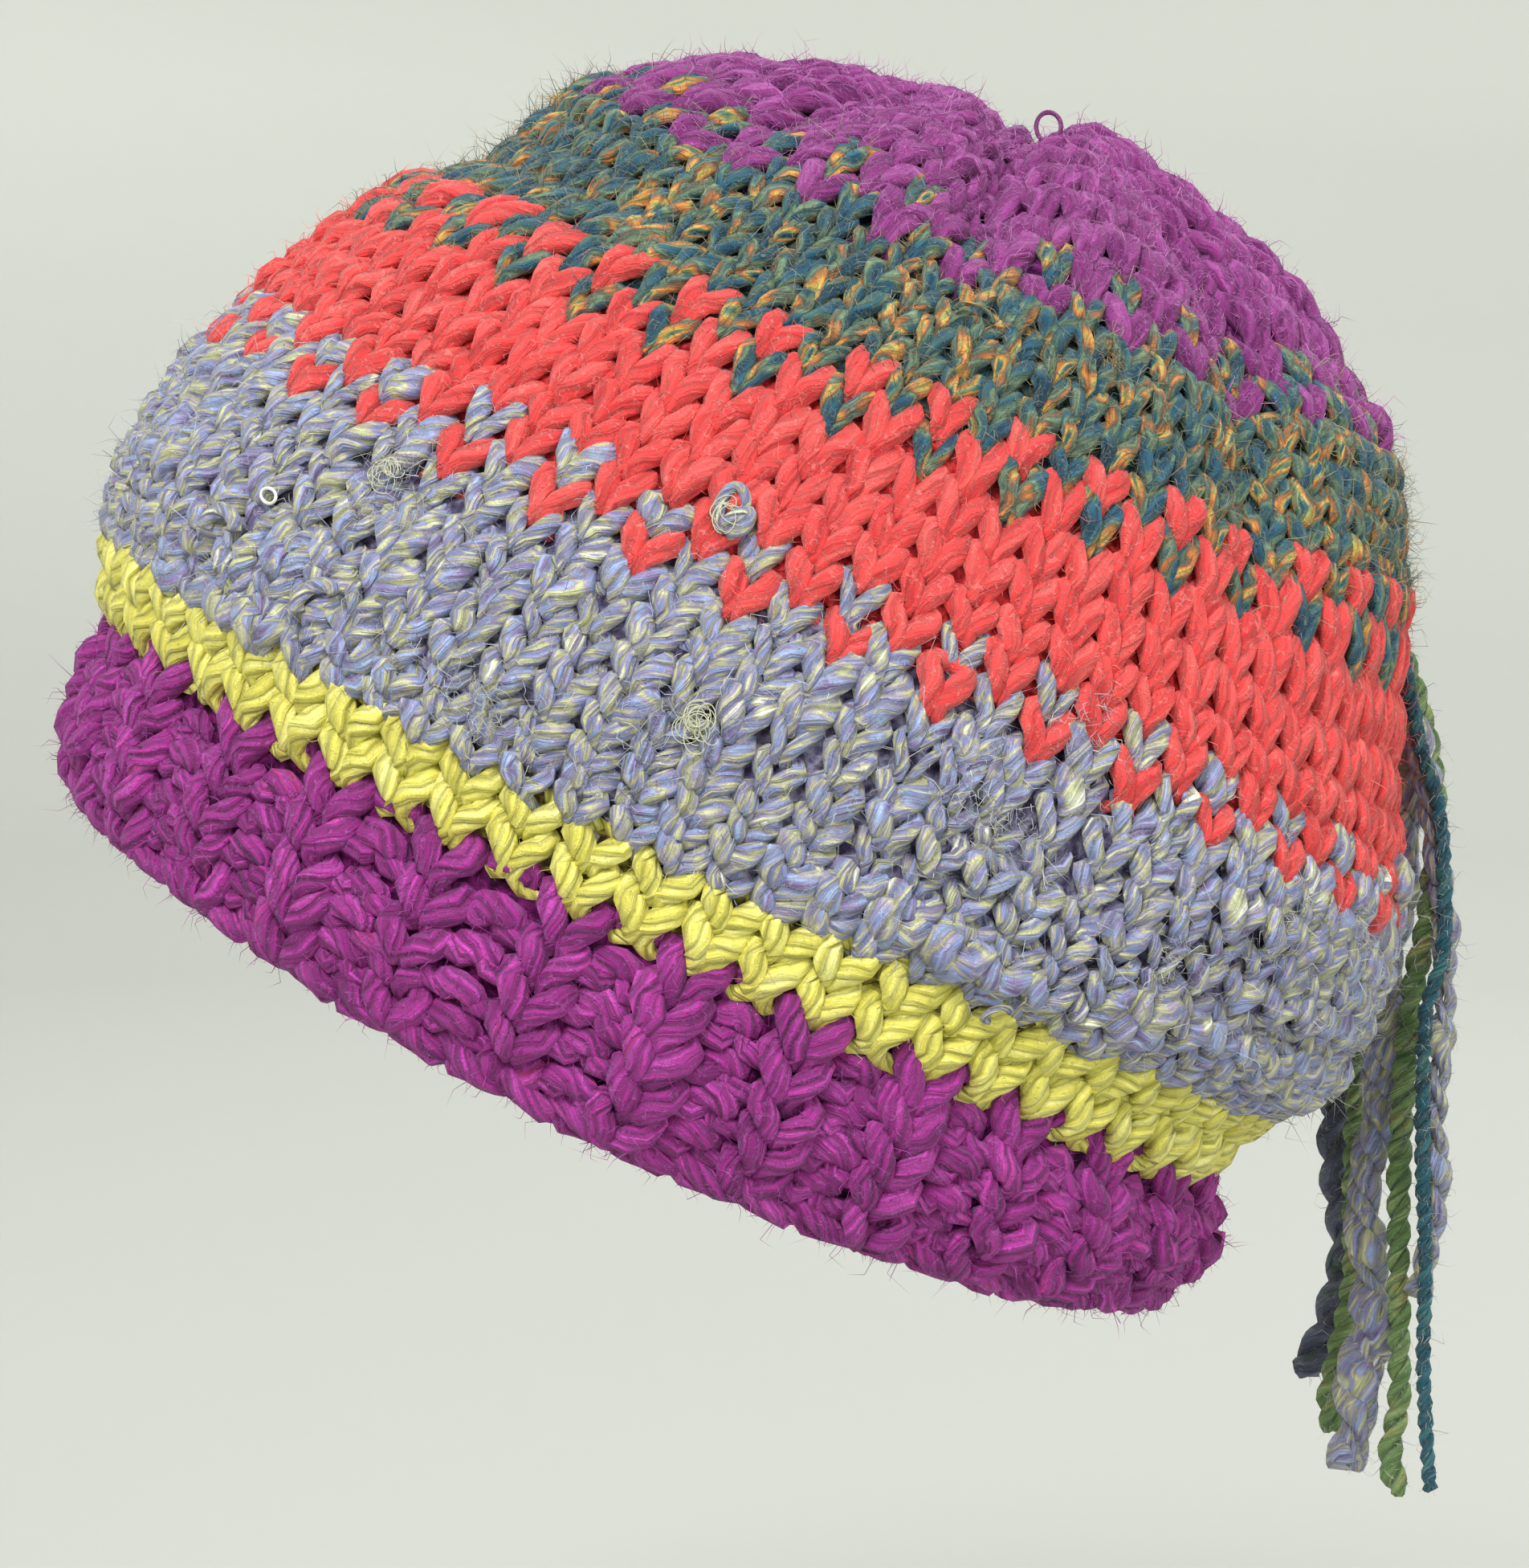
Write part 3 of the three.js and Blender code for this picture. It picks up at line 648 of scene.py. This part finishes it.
# blue body
blueLook = {
    "stitches": 72, "rows": range(7, 15), "steps": 14, "sides": 6, "radius": 1.85, "thin": 0.82, "depth": 3.7,
    "swing": 1.7, "uneven": 2.8, "slub": 0.2,
    "plies": 4, "pitch": 13.0, "wobble": 1.6, "streaks": 1.5, "fibres": 2.8, "colourRun": 5.5, "plyMix": 0.66,
    "grooveShade": 0.4, "fibreShade": 1.2, "fibreHeight": 1.8, "bump": 1.0, "ridge": 0.5, "ridgePower": 1.6,
    "rough": 0.45, "sheen": 0.35, "sheenTint": (215, 218, 222), "gloss": 0.6, "fuzz": 0.25,
    "fuzzColour": (222, 224, 218),
    "colours": [(0.0, (98, 84, 130)), (0.16, (136, 122, 172)), (0.28, (144, 168, 212)), (0.38, (150, 142, 166)),
                (0.48, (196, 200, 136)), (0.57, (156, 144, 170)), (0.66, (120, 140, 192)), (0.76, (146, 130, 166)),
                (0.86, (198, 204, 148)), (0.94, (240, 242, 234)), (1.0, (160, 146, 180))],
    # level, angle, fibres, spread, length
    "tufts": [(7.18, -128, 90, 2.6, 6.0), (6.88, -74.2, 90, 2.4, 6.0), (6.58, -70.5, 80, 2.8, 5.0),
              (7.23, -27.2, 80, 2.4, 5.0), (8.0, -68, 70, 2.2, 5.0), (7.13, -40.2, 80, 2.4, 5.5),
              (6.18, -98.8, 110, 3.0, 6.0), (5.2, -112, 90, 3.0, 6.0), (6.0, -52, 70, 2.6, 5.0)],
    # level, angle, coils, size, thickness
    "nests": [(6.30, -96.5, 18, 2.5, 0.075), (7.2, -128, 10, 2.2, 0.07), (8.35, -101.5, 8, 2.6, 0.07)],
    # level, angle, width, height, tilt, thickness, sweep
    "slubs": [(8.42, -101.6, 2.0, 3.6, 0.3, 1.0, 0.95), (8.30, -100.8, 1.3, 2.6, -0.5, 1.0, 0.8),
              (5.75, -141, 3.4, 3.2, 0.3, 1.4, 0.5), (5.5, -128, 3.8, 2.6, 0.8, 1.3, 0.5)],
    "shell": ([4.48, 5, 6, 7, 7.95], 3.3, 1.0, 2),
    "shortFibres": (6500, 2.6, 0.065),
    "longFibres": (3900, 7.5, 0.07),
}
blueBody = YarnMesh()
for row in blueLook["rows"]:
    knitRound(blueBody, row, blueLook)
odds, evens = range(1, 72, 2), range(0, 72, 2)
knitRound(blueBody, 15, blueLook, chosen=odds)
knitRound(blueBody, 16, blueLook, chosen=evens)
blueBody.addShell(*blueLook["shell"])
blueBody.addFuzz(*blueLook["shortFibres"])
blueBody.addHairs(*blueLook["longFibres"])
for level, angle, count, spread, length in blueLook["tufts"]:
    blueBody.addTuft(level, math.radians(angle), count, spread, length, 0.07)
for level, angle, wide, high, tilt, thick, sweep in blueLook["slubs"]:
    blueBody.addCurl(level, math.radians(angle), wide, high, tilt, thick, sweep)
for level, angle, coils, size, thick in blueLook["nests"]:
    blueBody.addNest(level, math.radians(angle), coils, size, thick, 4)
blueBody.addCurl(6.42, math.radians(-137.5), 1.7, 1.15, 0.1, 0.28, material=3)
blueBody.addCurl(4.45, math.radians(-63.5), 1.9, 1.5, 1.2, 0.6, 0.7)
blueYarn = yarnMaterial("blueYarn", blueLook)
blueHair = hairMaterial("blueHair", [(132, 126, 160), (176, 182, 206), (222, 224, 224), (180, 182, 150),
                                     (150, 146, 170)])
blueWhite = plainMaterial("blueWhite", (226, 228, 218), 0.5)
blueOlive = plainMaterial("blueOlive", (196, 198, 168), 0.6)
# darkened colours for the blue body's middle: painted shade in its gaps
blueDeepShade = deepShadeMaterial("blueDeepShade", [(48, 42, 62), (88, 82, 110), (128, 126, 146)])
blueBody.build("blueKnit", [blueYarn, blueHair, blueDeepShade, blueWhite, blueOlive], "blue_body")

# coral band
coralLook = {
    "stitches": 72, "rows": (17, 18, 19), "steps": 16, "sides": 6, "radius": 1.95, "thin": 0.78, "depth": 3.6,
    "swing": 1.8, "uneven": 1.5,
    "plies": 3, "pitch": 26.0, "wobble": 1.0, "streaks": 1.6, "fibres": 2.6, "colourRun": 14.0, "plyMix": 0.4,
    "grooveShade": 0.35, "fibreShade": 0.8, "fibreHeight": 1.6, "bump": 1.0, "ridge": 0.5, "ridgePower": 1.8,
    "rough": 0.85, "sheen": 0.4, "sheenTint": (255, 190, 184), "gloss": 0.15, "fuzz": 0.45,
    "fuzzColour": (250, 150, 144),
    "colours": [(0.0, (212, 54, 58)), (0.5, (238, 76, 76)), (1.0, (248, 100, 96))],
    "shell": ([8.0, 8.7, 9.3, 9.98], 3.0, 1.0, 2),
    "shortFibres": (8000, 2.0, 0.06),
    "longFibres": (2800, 5, 0.065),
}
coralBand = YarnMesh()
knitRound(coralBand, 15, coralLook, chosen=evens)
knitRound(coralBand, 16, coralLook, chosen=odds)
for row in coralLook["rows"]:
    knitRound(coralBand, row, coralLook)
knitRound(coralBand, 20, coralLook, chosen=odds)
knitRound(coralBand, 21, coralLook, chosen=evens)
coralBand.addShell(*coralLook["shell"])
coralBand.addFuzz(*coralLook["shortFibres"])
coralBand.addHairs(*coralLook["longFibres"])
coralYarn = yarnMaterial("coralYarn", coralLook)
coralHair = hairMaterial("coralHair", [(214, 60, 60), (244, 110, 102), (250, 156, 146)])
# darkened colours for the coral band's middle: painted shade in its gaps
coralDeepShade = deepShadeMaterial("coralDeepShade", [(96, 20, 26), (150, 34, 38), (196, 60, 60)])
coralBand.build("coralKnit", [coralYarn, coralHair, coralDeepShade], "coral_band")

# teal band
tealLook = {
    "stitches": 72, "rows": [(22, 72), (23, 72), (24, 72), (25, 66)], "steps": 16, "sides": 6, "radius": 1.5,
    "thin": 0.8, "depth": 3.3, "swing": 1.6, "uneven": 1.8, "slub": 0.1,
    "plies": 3, "pitch": 24.0, "wobble": 1.6, "streaks": 1.6, "fibres": 2.6, "colourRun": 6.5, "plyMix": 0.86,
    "grooveShade": 0.4, "fibreShade": 1.1, "fibreHeight": 1.6, "bump": 1.0, "ridge": 0.5, "ridgePower": 1.6,
    "rough": 0.8, "sheen": 0.35, "sheenTint": (186, 200, 186), "gloss": 0.2, "fuzz": 0.45,
    "fuzzColour": (140, 152, 136),
    "colours": [(0.0, (22, 58, 80)), (0.28, (36, 88, 116)), (0.42, (58, 98, 102)), (0.54, (118, 140, 106)),
                (0.62, (74, 96, 88)), (0.70, (160, 100, 60)), (0.78, (216, 136, 68)), (0.86, (200, 176, 86)),
                (0.93, (110, 138, 104)), (1.0, (30, 80, 108))],
    "shell": ([10.02, 11, 12, 13.6], 2.9, 1.0, 2),
    "shortFibres": (8000, 2.8, 0.065),
    "longFibres": (7200, 7.0, 0.07),
}
tealBand = YarnMesh()
knitRound(tealBand, 20, tealLook, chosen=evens)
knitRound(tealBand, 21, tealLook, chosen=odds)
for row, count in tealLook["rows"]:
    knitRound(tealBand, row, tealLook, stitches=count)
topEvens, topOdds = range(0, 60, 2), range(1, 60, 2)
knitRound(tealBand, 26, tealLook, stitches=60, chosen=topOdds)
knitRound(tealBand, 27, tealLook, stitches=60, chosen=topEvens)
tealBand.addShell(*tealLook["shell"])
tealBand.addFuzz(*tealLook["shortFibres"])
tealBand.addHairs(*tealLook["longFibres"])
tealBand.addTuft(12.47, math.radians(-73.5), 60, 2.0, 6.0, 0.07)
tealBand.addCurl(12.07, math.radians(-91), 3.0, 1.6, 0.1, 0.45, 0.55)
tealYarn = yarnMaterial("tealYarn", tealLook)
tealHair = hairMaterial("tealHair", [(52, 92, 102), (112, 124, 108), (168, 170, 150), (176, 138, 88),
                                     (80, 104, 96)])
# darkened colours for the teal band's middle: painted shade in its gaps
tealDeepShade = deepShadeMaterial("tealDeepShade", [(20, 34, 40), (40, 68, 74), (84, 88, 70)])
tealBand.build("tealKnit", [tealYarn, tealHair, tealDeepShade], "teal_band")

# crown
crownLook = {
    "stitches": 60, "steps": 16, "sides": 6, "radius": 2.15, "thin": 0.72, "depth": 3.5, "swing": 1.8,
    "rows": [(28, 60), (29, 54), (30, 48), (31, 40), (32, 32), (33, 24), (34, 16), (34.8, 10)], "uneven": 1.8,
    "plies": 3, "pitch": 24.0, "wobble": 1.6, "streaks": 1.4, "fibres": 2.6, "colourRun": 12.0, "plyMix": 0.4,
    "grooveShade": 0.35, "fibreShade": 0.9, "fibreHeight": 1.8, "bump": 1.0, "ridge": 0.5, "ridgePower": 1.8,
    "rough": 0.85, "sheen": 0.6, "sheenTint": (216, 150, 212), "gloss": 0.12, "fuzz": 0.5,
    "fuzzColour": (190, 110, 182),
    "colours": [(0.0, (88, 30, 84)), (0.4, (124, 46, 110)), (0.75, (148, 64, 134)), (1.0, (170, 88, 158))],
    "shell": ([13.63, 14, 15, 16, 17, 18, 18.6], 3.0, 1.0, 2),
    "shortFibres": (12500, 2.6, 0.07),
    "longFibres": (6600, 5.5, 0.07),
}
crown = YarnMesh()
knitRound(crown, 26, crownLook, stitches=60, chosen=topEvens, wide=1.2)
knitRound(crown, 27, crownLook, stitches=60, chosen=topOdds, wide=1.2)
for row, count in crownLook["rows"]:
    knitRound(crown, row, crownLook, stitches=count)
crown.addShell(*crownLook["shell"])
crown.addFuzz(*crownLook["shortFibres"])
crown.addHairs(*crownLook["longFibres"])
loopTurn = np.radians(np.linspace(-70, 250, 22))  # a small loop that stands at the notch
loopPath = np.array([71.7, -5, 156.4]) + np.stack([np.cos(loopTurn) * 2.1, np.sin(loopTurn) * 0.3,
                                                 np.sin(loopTurn) * 2.5], axis=1)
crown.addYarn(loopPath, 0.4, np.tile([0.0, -1.0, 0.0], (22, 1)), 6, False)
crownYarn = yarnMaterial("crownYarn", crownLook)
# the lightest crown fibre colour is painted light, as shines through thin backlit fibres
crownHair = hairMaterial("crownHair", [(134, 50, 126), (180, 96, 172), (216, 156, 208)])
# darkened colours for the crown's middle: painted shade in its gaps
crownDeepShade = deepShadeMaterial("crownDeepShade", [(52, 16, 54), (96, 32, 92), (136, 56, 128)])
crown.build("crownKnit", [crownYarn, crownHair, crownDeepShade], "crown")

# hanging yarn ends
tasselLook = {
    "wideCrease": 84, "yarnRadius": 3.0, "endsBelow": 84, "knotRadius": 3.4, "knotLift": 1.6, "clearance": 0.9,
    "bundleLift": -0.8, "pathStep": 1.2, "bundleLevels": (18.3, 17.6, 16.9),
    "crownLevels": (16.2, 15.5, 14.7, 13.7, 12.7, 11.7, 10.6),
    "strandTurn": {"blue": -5.5, "olive": 4.4, "teal": 4.4, "grey": 4.4},  # yarn radii for one turn of the twist
    "strandLumps": {"blue": 0.38, "olive": 0.08, "teal": 0.08, "grey": 0.08},
    "strandSize": {"blue": 1.14, "olive": 1.12, "teal": 0.8, "grey": 1.25},
    # lane across, radius share, yarns twisted together, then places down behind
    "ends": [
        (0.36, 1.0, ("blue", 3), [(1.175, .62), (1.165, .35), (1.144, .09), (1.136, -.19), (1.115, -.36),
                                  (1.128, -.65), (1.115, -.75), (1.097, -.96)]),
        (0.29, 0.66, ("olive", 2), [(1.200, .58), (1.205, .30), (1.175, .05), (1.160, -.30), (1.160, -.56),
                                    (1.163, -.79), (1.150, -.94), (1.166, -1.0)]),
        (0.22, 0.6, ("teal", 2), [(1.178, .60), (1.205, .47), (1.214, .16), (1.192, .05), (1.187, -.24),
                                  (1.193, -.50), (1.191, -.71), (1.203, -.98)]),
        (0.26, 0.7, ("blue", 2), [(1.190, .50), (1.214, .30), (1.222, .05), (1.212, -.18), (1.210, -.40),
                                  (1.190, -.57)]),
        (0.57, 0.95, ("grey", 2), [(1.078, .40), (1.088, .00), (1.092, -.33), (1.106, -.56), (1.068, -.74),
                                   (1.040, -.80)]),
        (0.49, 0.66, ("olive", 2), [(1.096, .45), (1.108, .05), (1.112, -.33), (1.105, -.63), (1.076, -.82),
                                    (1.080, -.91)]),
    ],
    "shortFibres": (5000, 2.4, 0.06),
    "longFibres": (1600, 5.5, 0.065),
}


def endPath(lane, share, down, look):  # the way of one hanging end, as the CAD tassel's
    across = lane * hat["halfWidth"]
    thick = share * look["yarnRadius"]
    crease = math.radians(look["wideCrease"])
    one = np.array([1.0])
    points = [clothPoint(one * lastLevel, one * 0, one * (-look["knotRadius"] + look["knotLift"]))[0]]
    for level in look["bundleLevels"]:
        points.append(clothPoint(one * level, one * crease, one * (-thick * 0.3 - look["bundleLift"]))[0])
    for k, level in enumerate(look["crownLevels"]):
        side = columnAt(2, one * level)[0] * hat["halfWidth"]
        angle = math.asin(min(0.97, across / side))
        if k == 0:
            angle = max(angle, crease - math.radians(20))
        out = directions(one * level, one * angle)[2][0]
        points.append(outline(one * level, one * angle)[0] + out * (thick + look["clearance"]))
    for behind, height in down:
        points.append(np.array([behind * hat["halfLength"], across, height * look["endsBelow"]]))
    points = np.array(points)
    points = np.concatenate([[2 * points[0] - points[1]], points, [2 * points[-1] - points[-2]]])
    fine = []
    for k in range(1, len(points) - 2):  # centripetal spline
        p = points[k - 1:k + 3]
        gaps = np.sqrt(np.maximum(np.linalg.norm(np.diff(p, axis=0), axis=1), 1e-6))
        t0, t1, t2, t3 = 0, gaps[0], gaps[0] + gaps[1], gaps.sum()
        for t in np.linspace(t1, t2, 24, endpoint=False):
            a1 = (t1 - t) / (t1 - t0) * p[0] + (t - t0) / (t1 - t0) * p[1]
            a2 = (t2 - t) / (t2 - t1) * p[1] + (t - t1) / (t2 - t1) * p[2]
            a3 = (t3 - t) / (t3 - t2) * p[2] + (t - t2) / (t3 - t2) * p[3]
            b1 = (t2 - t) / (t2 - t0) * a1 + (t - t0) / (t2 - t0) * a2
            b2 = (t3 - t) / (t3 - t1) * a2 + (t - t1) / (t3 - t1) * a3
            fine.append((t2 - t) / (t2 - t1) * b1 + (t - t1) / (t2 - t1) * b2)
    fine = np.array(fine + [points[-2]])
    way = np.concatenate([[0], np.cumsum(np.linalg.norm(np.diff(fine, axis=0), axis=1))])
    count = int(way[-1] / look["pathStep"])
    even = np.linspace(0, way[-1], count)
    return np.stack([np.interp(even, way, fine[:, k]) for k in range(3)], axis=1), even


tassel = YarnMesh()
tasselKinds = {"blue": 0, "olive": 2, "teal": 3, "grey": 4}
for lane, share, (kind, strands), down in tasselLook["ends"]:
    path, way = endPath(lane, share, down, tasselLook)
    tangent = unit(np.gradient(path, axis=0))
    across = unit(np.cross(tangent, [1.0, 0.15, 0.25]))
    other = np.cross(tangent, across)
    whole = share * tasselLook["yarnRadius"] * tasselLook["strandSize"][kind]
    for k in range(strands):
        turn = way / (whole * tasselLook["strandTurn"][kind]) * 2 * math.pi + k * 2 * math.pi / strands
        each = whole * 0.62
        ring = whole * 0.45
        strand = path + across * (np.cos(turn) * ring)[:, None] + other * (np.sin(turn) * ring)[:, None]
        radius = each * np.exp(tasselLook["strandLumps"][kind] * np.clip(wander(len(path), 5), -1.5, 1.5))
        tassel.addYarn(strand, radius, across, 6, False, material=tasselKinds[kind])
knot = np.linspace(0, 1, 40)
centre = clothPoint(np.array([19.0]), np.array([0.0]), np.array([-2.0]))[0]
for k in range(3):  # wraps of the knot
    turn = knot * 2 * math.pi * 1.6 + k * 2.1
    tilt = Vector((0.3 * (k - 1), 0.5 - 0.4 * k, 1)).normalized()
    a = unit(np.cross(np.array(tilt), [0.2, 1, 0.1]))
    b = np.cross(np.array(tilt), a)
    wrap = centre + a * (np.cos(turn) * 2.2)[:, None] + b * (np.sin(turn) * 2.2)[:, None] \
        + np.array(tilt) * ((knot - 0.5) * 2.6)[:, None]
    tassel.addYarn(wrap, 1.4, np.broadcast_to(np.array(tilt), wrap.shape), 6, False, material=5)
tassel.addFuzz(*tasselLook["shortFibres"])
tassel.addHairs(*tasselLook["longFibres"])
cordLook = dict(tealLook, plies=3, pitch=9.0, wobble=0.5, grooveShade=0.5, ridgePower=1.0, ridge=0.7, fuzz=0.3)
oliveLook = dict(cordLook, colours=[(0.0, (92, 128, 70)), (0.5, (128, 160, 96)), (0.85, (156, 180, 116)),
                                    (1.0, (160, 160, 96))])
strandTealLook = dict(cordLook, colours=[(0.0, (14, 74, 92)), (0.6, (24, 100, 124)), (1.0, (60, 124, 130))])
greyLook = dict(tealLook, colours=[(0.0, (58, 68, 84)), (0.4, (84, 88, 116)), (0.8, (112, 116, 140)),
                                   (1.0, (70, 92, 84))])
tassel.build("tasselYarns", [yarnMaterial("tasselBlue", blueLook), blueHair, yarnMaterial("tasselOlive", oliveLook),
                             yarnMaterial("tasselTeal", strandTealLook), yarnMaterial("tasselGrey", greyLook),
                             crownYarn],
             "tassel")

# studio
studio = {
    "floor": -0.20, "colour": (230, 232, 226), "floorColour": (192, 194, 188), "rise": 0.6, "columns": 64,
    "profile": [(0.0, 0.0), (1.9, 0.0), (2.3, 0.04), (2.6, 0.15), (2.9, 0.40), (3.1, 0.8), (3.2, 1.3), (3.2, 3.6)],
    # name, place, target, size, power, colour
    "lights": [("keyLight", (-0.4, -1.65, 1.75), (0.02, 0, 0.05), 1.0, 53, (1.0, 0.985, 0.985)),
               ("fillLight", (1.5, -1.6, 0.8), (0.02, 0, 0.03), 1.2, 14.0, (1, 1, 1)),
               ("backLight", (0.6, 1.8, 1.6), (0.02, 0, 0.05), 1.6, 21.5, (1, 1, 1))],
    "worldColour": (0.94, 0.945, 0.94, 1), "worldStrength": 0.70,
    "lens": 107, "target": (0.0237, 0, 0.0448), "lookDown": 4, "distance": 0.80,
}
profile = studio["profile"]
bowl = bpy.data.meshes.new("studioBowl")
bowlPoints, bowlFaces = [(0, 0, studio["floor"])], []
around = studio["columns"]
for radius, height in profile[1:]:
    for k in range(around):
        a = 2 * math.pi * k / around
        bowlPoints.append((radius * math.cos(a), radius * math.sin(a), height + studio["floor"]))
for k in range(around):
    bowlFaces.append((0, 1 + k, 1 + (k + 1) % around))
for ringIndex in range(len(profile) - 2):
    for k in range(around):
        a = 1 + ringIndex * around + k
        b = 1 + ringIndex * around + (k + 1) % around
        bowlFaces.append((a, a + around, b + around, b))
bowl.from_pydata(bowlPoints, [], bowlFaces)
bowl.polygons.foreach_set("use_smooth", [True] * len(bowl.polygons))
bowlObject = bpy.data.objects.new("studioBowl", bowl)
bpy.context.collection.objects.link(bowlObject)
paper = plainMaterial("studioPaper", studio["colour"], 1.0, 0.0)
paperNodes, paperLinks = paper.node_tree.nodes, paper.node_tree.links
paperPlace, paperSplit = paperNodes.new("ShaderNodeTexCoord"), paperNodes.new("ShaderNodeSeparateXYZ")
paperRise = paperNodes.new("ShaderNodeMapRange")  # darker low down, where more of the light falls
paperRise.inputs["From Min"].default_value = studio["floor"]
paperRise.inputs["From Max"].default_value = studio["floor"] + studio["rise"]
paperRamp = makeRamp(paperNodes, [(0.0, studio["floorColour"]), (1.0, studio["colour"])])
paperLinks.new(paperPlace.outputs["Object"], paperSplit.inputs[0])
paperLinks.new(paperSplit.outputs[2], paperRise.inputs["Value"])
paperLinks.new(paperRise.outputs[0], paperRamp.inputs[0])
paperLinks.new(paperRamp.outputs[0], paper.node_tree.nodes["Principled BSDF"].inputs["Base Color"])
bowl.materials.append(paper)


def areaLight(name, place, target, size, power, colour):
    data = bpy.data.lights.new(name, "AREA")
    data.shape = "DISK"
    data.size = size
    data.energy = power
    data.color = colour
    light = bpy.data.objects.new(name, data)
    light.location = place
    light.rotation_euler = (Vector(target) - Vector(place)).to_track_quat("-Z", "Y").to_euler()
    light.visible_camera = False
    bpy.context.collection.objects.link(light)


for light in studio["lights"]:
    areaLight(*light)
world = bpy.data.worlds.new("studioWorld")
world.use_nodes = True
world.node_tree.nodes["Background"].inputs[0].default_value = studio["worldColour"]
world.node_tree.nodes["Background"].inputs[1].default_value = studio["worldStrength"]
bpy.context.scene.world = world
bpy.context.scene.view_settings.view_transform = "Standard"

camera = bpy.data.cameras.new("photoCamera")
camera.sensor_width = 36
camera.lens = studio["lens"]
cameraObject = bpy.data.objects.new("photoCamera", camera)
bpy.context.collection.objects.link(cameraObject)
target, down = Vector(studio["target"]), math.radians(studio["lookDown"])
place = target + Vector((0, -math.cos(down), math.sin(down))) * studio["distance"]
cameraObject.location = place
cameraObject.rotation_euler = (target - place).to_track_quat("-Z", "Y").to_euler()
bpy.context.scene.camera = cameraObject
print("studio set")
